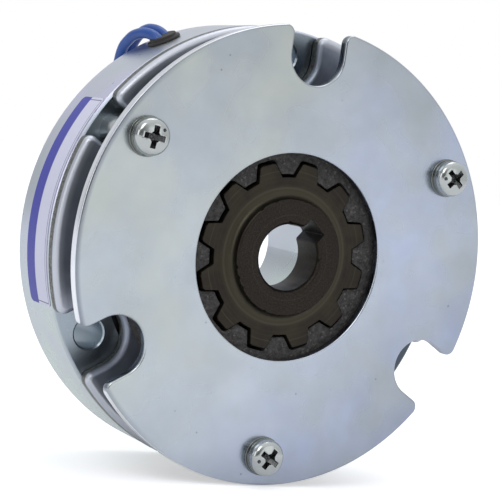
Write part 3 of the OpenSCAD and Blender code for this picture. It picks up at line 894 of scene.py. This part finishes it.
class BrakeTie(bpy.types.Operator):
    """Adds the cable tie that holds the coil of leads together"""
    bl_idname = "brake.tie"
    bl_label = "Coil Tie"

    def execute(self, context):
        x, y = (c / MM for c in COIL_CENTRE)
        outer, inner = (y + lead["radius"] / MM for lead in LEADS)
        # It sits a quarter turn behind the coil's start
        turns = [(inner, TIE_ROUND_INNER_Z[0]), (outer, TIE_ROUND_OUTER_Z[0]),
                 (outer, TIE_ROUND_OUTER_Z[1]), (inner, TIE_ROUND_INNER_Z[1])]
        band = loop_round("coil_tie", x * MM, turns, TIE_WRAP_R, TIE_WIDTH)
        apply_modifier(band, "SOLIDIFY", thickness=TIE_T * MM, offset=1)
        apply_modifier(band, "BEVEL", width=0.1 * MM, segments=2, limit_method="ANGLE",
                       angle_limit=math.radians(50))
        face = outer + TIE_WRAP_R
        head = rounded_block((x, face + TIE_HEAD[1] / 2, TIE_HEAD_Z), TIE_HEAD, TIE_HEAD_EDGE)
        tail = rounded_block((x, face + TIE_TAIL_OFF, TIE_TAIL_Z), TIE_TAIL, TIE_TAIL_EDGE)
        select_only(band, head, tail)
        bpy.ops.object.join()
        bpy.ops.object.shade_smooth_by_angle(angle=math.radians(35))
        place_piece(band, "field", "bobbin_plastic", "natural_nylon")
        return {"FINISHED"}


class BrakeLeads(bpy.types.Operator):
    """Adds the two leads with their coil"""
    bl_idname = "brake.leads"
    bl_label = "Leads"

    def execute(self, context):
        diameter = context.scene.brake_finish.lead_diameter
        for lead in LEADS:
            path = lead_path(lead)
            piece = make_curve(lead["name"], path, diameter / 2)
            place_piece(piece, "field", "blue_insulation", "blue_vinyl_insulation", lead["node"], "lead_coil")
        return {"FINISHED"}


class BrakePlating(bpy.types.Operator):
    """Gives each CAD piece its real finish"""
    bl_idname = "brake.plating"
    bl_label = "Finishes"

    def execute(self, context):
        for name, piece in NODES.items():
            paint(piece, finish(CAD_FINISHES[name.rstrip("0123456789").rstrip("_")]))
        return {"FINISHED"}


class BrakeSprings(bpy.types.Operator):
    """Gives each torque spring a mesh of its own"""
    bl_idname = "brake.springs"
    bl_label = "Torque Springs"

    def execute(self, context):
        for name, piece in NODES.items():
            if name.startswith("torque_spring"):
                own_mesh(piece)
        return {"FINISHED"}


class BrakeDiscs(bpy.types.Operator):
    """Adds the front plate and the armature with their rounded notches and slots"""
    bl_idname = "brake.discs"
    bl_label = "Discs"

    def execute(self, context):
        sizes = context.scene.brake_finish
        centre = Vector((0, 0, 0))
        front_y, back_y = (corner.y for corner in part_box("front_plate"))
        plate = rim_disc("cover_plate", PLATE_R, front_y, back_y,
                         [(angle, PLATE_NOTCH_W, PLATE_NOTCH_R) for angle in MOUNT_ANGLES])
        drill(plate, centre, WINDOW_D)
        for angle in SCREW_ANGLES:
            drill(plate, on_bolt_circle(angle), SCREW_HOLE_D)
        round_edges(plate, sizes.plate_edge / MM)
        place_piece(plate, "field", "zinc_steel", "bright_zinc_on_pressed_plate", "front_plate")

        front_y, back_y = (corner.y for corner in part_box("armature"))
        # A hair off its back, so that the two faces don't cross where it seats on the field
        seated_y = back_y - 0.02 * MM
        gaps = [(angle, ARMATURE_NOTCH_W, BOLT_R) for angle in MOUNT_ANGLES]
        gaps += [(angle, SLOT_W, BOLT_R) for angle in SCREW_ANGLES]
        armature = rim_disc("armature_disc", ARMATURE_R, front_y, seated_y, gaps)
        # The bore is drilled after the front face's edges are rounded, which would cover it
        round_face_edges(armature, front_y, sizes.armature_edge / MM, segments=5)
        drill(armature, centre, ARMATURE_BORE_D)
        round_edges(armature, 0.15, segments=2)
        place_piece(armature, "armature", "zinc_steel", "dull_zinc_on_armature", "armature")
        return {"FINISHED"}


class BrakeScrews(bpy.types.Operator):
    """Adds the three pan head screws with their cross recesses and washers"""
    bl_idname = "brake.screws"
    bl_label = "Screws and Washers"

    def execute(self, context):
        # Modelled about the origin with the head towards -Y, from its seat. Half its outline is drawn from
        # the tip, and spun round the axis.
        place = Vector((0, (SCREW_LENGTH - SCREW_TIP) * MM, 0))
        screw = start_drawing("screw_master", place)
        for heading, length in ((0, SHANK_R - SCREW_TIP), (45, SCREW_TIP * math.sqrt(2)),
                                (90, SCREW_LENGTH - 2 * SCREW_TIP)):
            place = draw(place, heading, [(length * MM, 0)], X_AXIS, -Y_AXIS)
        # The crown's radius is the one that ends on the axis
        lean = math.cos(math.radians(HEAD_SHOULDER_TURN))
        crown = HEAD_R / lean - HEAD_SHOULDER_R * (1 / lean - 1)
        place = draw(place, 0, [
            ((HEAD_R - SHANK_R - HEAD_SEAT_ROUND) * MM, 0), (HEAD_SEAT_ROUND * MM, 90), (HEAD_WALL * MM, 0),
            (HEAD_SHOULDER_R * MM, HEAD_SHOULDER_TURN), (crown * MM, 90 - HEAD_SHOULDER_TURN),
        ], X_AXIS, -Y_AXIS)
        bpy.ops.mesh.select_all(action="SELECT")
        bpy.ops.mesh.spin(steps=64, angle=math.tau, center=(0, 0, 0), axis=(0, 1, 0))
        weld()
        face_outwards()
        paint(screw, finish("polished_nickel_on_screws"))

        # The cross, the cone that it ends in, and the dimple beside it
        top = -place.y / MM
        cutters = [recess_wing(angle, top) for angle in (0, 90)]
        deselect()
        bpy.ops.mesh.primitive_cone_add(
            vertices=22, radius1=CONE_FOOT_R * MM, radius2=CONE_TOP_R * MM, depth=CONE_H * MM,
            location=(0, -(top - CONE_DEPTH + CONE_H / 2) * MM, 0), rotation=(math.pi / 2, 0, 0))
        cutters.append(bpy.context.object)
        deselect()
        bpy.ops.mesh.primitive_uv_sphere_add(
            segments=16, ring_count=8, radius=DIMPLE_R * MM,
            location=(DIMPLE_OFF * MM, -(top - DIMPLE_IN) * MM, DIMPLE_OFF * MM))
        cutters.append(bpy.context.object)
        # Each cutter leaves its finish on the faces that it cuts: painted shade in the recess and the dimple
        for cutter in cutters:
            paint(cutter, finish("nickel_with_painted_recess_shade"))
            cut(screw, cutter)
        round_edges(screw, 0.07, segments=2, angle=35)

        for number, (angle, turn) in enumerate(zip(SCREW_ANGLES, SCREW_TURNS), 1):
            piece = copied(f"pan_head_screw_{number}", screw)
            piece.data.transform(Matrix.Translation(on_bolt_circle(angle) + SCREW_SEAT_Y * MM * Y_AXIS)
                                 @ Matrix.Rotation(math.radians(-turn), 4, "Y"))
            place_piece(piece, "field", "nickel_steel", None, f"plate_screw_{number}")
            split = softened(f"spring_washer_{number}", f"split_washer_{number}", 0.1)
            place_piece(split, "field", "nickel_steel", "nickel_with_painted_shade_on_washers", f"spring_washer_{number}")
            # The flat one barely shows round the head
            flat = softened(f"plain_washer_{number}", f"flat_washer_{number}", 0.12)
            low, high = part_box(f"plain_washer_{number}")
            edit(flat)
            bpy.ops.transform.resize(value=(WASHER_SCALE, 1, WASHER_SCALE), center_override=(low + high) / 2)
            bpy.ops.object.mode_set(mode="OBJECT")
            place_piece(flat, "field", "nickel_steel", "nickel_with_painted_shade_on_washers", f"plain_washer_{number}")
        bpy.data.objects.remove(screw)
        return {"FINISHED"}


class BrakeLabel(bpy.types.Operator):
    """Adds the blank label with its round corners, wrapped round the field"""
    bl_idname = "brake.label"
    bl_label = "Label"

    def execute(self, context):
        corner = (LABEL_CORNER * MM, 90)
        long, short = ((side - 2 * LABEL_CORNER) * MM for side in (LABEL_LENGTH, LABEL_W))
        place = Vector((LABEL_CORNER * MM, 0, 0))
        label = start_drawing("side_label", place)
        draw(place, 0, [(long, 0), corner, (short, 0), corner] * 2, X_AXIS, Y_AXIS)
        weld()
        bpy.ops.mesh.edge_face_add()
        strips = 48
        for step in range(1, strips):
            bpy.ops.mesh.select_all(action="SELECT")
            bpy.ops.mesh.bisect(plane_co=(LABEL_LENGTH * step / strips * MM, 0, 0), plane_no=(1, 0, 0))
        bpy.ops.object.mode_set(mode="OBJECT")
        film = label.data.uv_layers.new(name="film")
        for loop in label.data.loops:
            film.data[loop.index].uv = label.data.vertices[loop.vertex_index].co.xy / MM
        # Wraps it: x becomes the way round the rim, y the height above the mounting face
        radius = (FIELD_R + LABEL_GLUE) * MM
        for point in label.data.vertices:
            angle = math.radians(LABEL_START) + point.co.x / (FIELD_R * MM)
            point.co = (radius * math.cos(angle), -point.co.y - LABEL_LOW * MM, radius * math.sin(angle))
        edit(label)
        face_outwards()
        outward = label.data.polygons[0].normal.dot(label.data.polygons[0].center) > 0
        apply_modifier(label, "SOLIDIFY", thickness=LABEL_T * MM, offset=1 if outward else -1)
        bpy.ops.object.shade_smooth_by_angle(angle=math.radians(40))
        place_piece(label, "field", "label_film", "printed_polyester_film", "label")
        return {"FINISHED"}


class BrakeDetails(bpy.types.Operator):
    """Adds hub, friction disc, grommet and spacers with their edges softened"""
    bl_idname = "brake.details"
    bl_label = "Hub, Rotor and Small Parts"

    def execute(self, context):
        for node, name, width, body, slot, finish_name in (
            ("hub", "toothed_hub", 0.12, "hub", "black_oxide_steel", "black_oxide_on_turned_steel"),
            ("rotor", "friction_disc", 0.15, "rotor", "friction_lining", "moulded_friction_lining"),
            ("lead_grommet", "outlet_grommet", 0.15, "field", "black_rubber", "black_moulded_rubber"),
            *((f"spacer_{number}", f"spacer_sleeve_{number}", 0.1, "field", "nickel_steel",
               "polished_nickel_on_screws") for number in (1, 2, 3)),
        ):
            place_piece(softened(node, name, width), body, slot, finish_name, node)
        return {"FINISHED"}


class BrakeStage(bpy.types.Operator):
    """Adds the pale floor, the white surroundings and the lamps"""
    bl_idname = "brake.stage"
    bl_label = "Stage"

    def execute(self, context):
        deselect()
        bpy.ops.mesh.primitive_plane_add(size=6, location=(0, 0, -(PLATE_R + 0.2) * MM))
        floor = bpy.context.object
        floor.name = "studio_floor"
        paint(floor, finish("white_studio_floor"))

        world = bpy.data.worlds.new("studio")
        context.scene.world = world
        world.use_nodes = True
        tree = world.node_tree
        tree.nodes.clear()
        direction = add(tree, "TexCoord").outputs["Generated"]
        axes = add(tree, "SeparateXYZ", [direction]).outputs
        level = add(tree, "MapRange", [axes["Z"], -0.2, 0.9, 0.62, 1])
        # Darker on the left, and where the photographer stands
        left = add(tree, "MapRange", [axes["X"], -0.95, -0.35, 0.45, 1])
        level = add(tree, "Math", [level, left], operation="MULTIPLY")
        toward = add(tree, "VectorMath", [direction, (-0.36, -0.93, 0.05)], operation="DOT_PRODUCT")
        front = add(tree, "MapRange", [toward, 0.78, 0.97, 1, 0.25])
        level = add(tree, "Math", [level, front], operation="MULTIPLY")
        soft = add(tree, "Background", [linear("#F6F8FC"), level])
        white = add(tree, "Background", [(1, 1, 1, 1), 1])
        to_camera = add(tree, "LightPath").outputs["Is Camera Ray"]
        add(tree, "OutputWorld", [add(tree, "MixShader", [to_camera, soft, white])])
        context.scene.view_settings.view_transform = "Standard"

        for name, place, size, radiance in (
            ("key", (-0.5, -0.55, 0.6), 0.45, 2.2),
            ("front", (0.33, -0.81, 0.08), 0.4, 0.42),
            ("left", (-0.9, -0.35, 0.2), 0.4, 1.2),
            ("top", (0.15, 0.15, 0.8), 0.5, 1.2),
        ):
            data = bpy.data.lights.new(name, "AREA")
            data.size = size
            data.energy = radiance * math.pi * size * size
            lamp = bpy.data.objects.new(name, data)
            lamp.location = place
            lamp.rotation_euler = Vector(place).to_track_quat("Z", "Y").to_euler()
            lamp.visible_camera = False
            context.scene.collection.objects.link(lamp)
        return {"FINISHED"}


class BrakePanel(bpy.types.Panel):
    """Lists the brake's sizes and colours and its pieces"""
    bl_idname = "VIEW3D_PT_brake"
    bl_label = "Spring-Applied Brake"
    bl_space_type = "VIEW_3D"
    bl_region_type = "UI"
    bl_category = "Brake"

    def draw(self, context):
        for name in ("lead_diameter", "plate_edge", "armature_edge", "lead_colour", "band_colour"):
            self.layout.prop(context.scene.brake_finish, name)
        for operator in OPERATORS:
            self.layout.operator(operator.bl_idname)


OPERATORS = (
    BrakeCamera, BrakeTips, BrakeTie, BrakeLeads, BrakePlating, BrakeSprings, BrakeDiscs, BrakeScrews,
    BrakeLabel, BrakeDetails, BrakeStage,
)
CLASSES = (BrakeFinish, *OPERATORS, BrakePanel)


def register():
    for cls in CLASSES:
        bpy.utils.register_class(cls)
    bpy.types.Scene.brake_finish = bpy.props.PointerProperty(type=BrakeFinish)


def unregister():
    del bpy.types.Scene.brake_finish
    for cls in reversed(CLASSES):
        bpy.utils.unregister_class(cls)


def main():
    register()
    bpy.ops.brake.camera()
    bpy.ops.brake.tips()
    bpy.ops.brake.tie()
    bpy.ops.brake.leads()
    bpy.ops.brake.plating()
    bpy.ops.brake.springs()
    bpy.ops.brake.discs()
    bpy.ops.brake.screws()
    bpy.ops.brake.label()
    bpy.ops.brake.details()
    bpy.ops.brake.stage()
    bpy.context.view_layer.update()


if __name__ == "__main__":
    main()
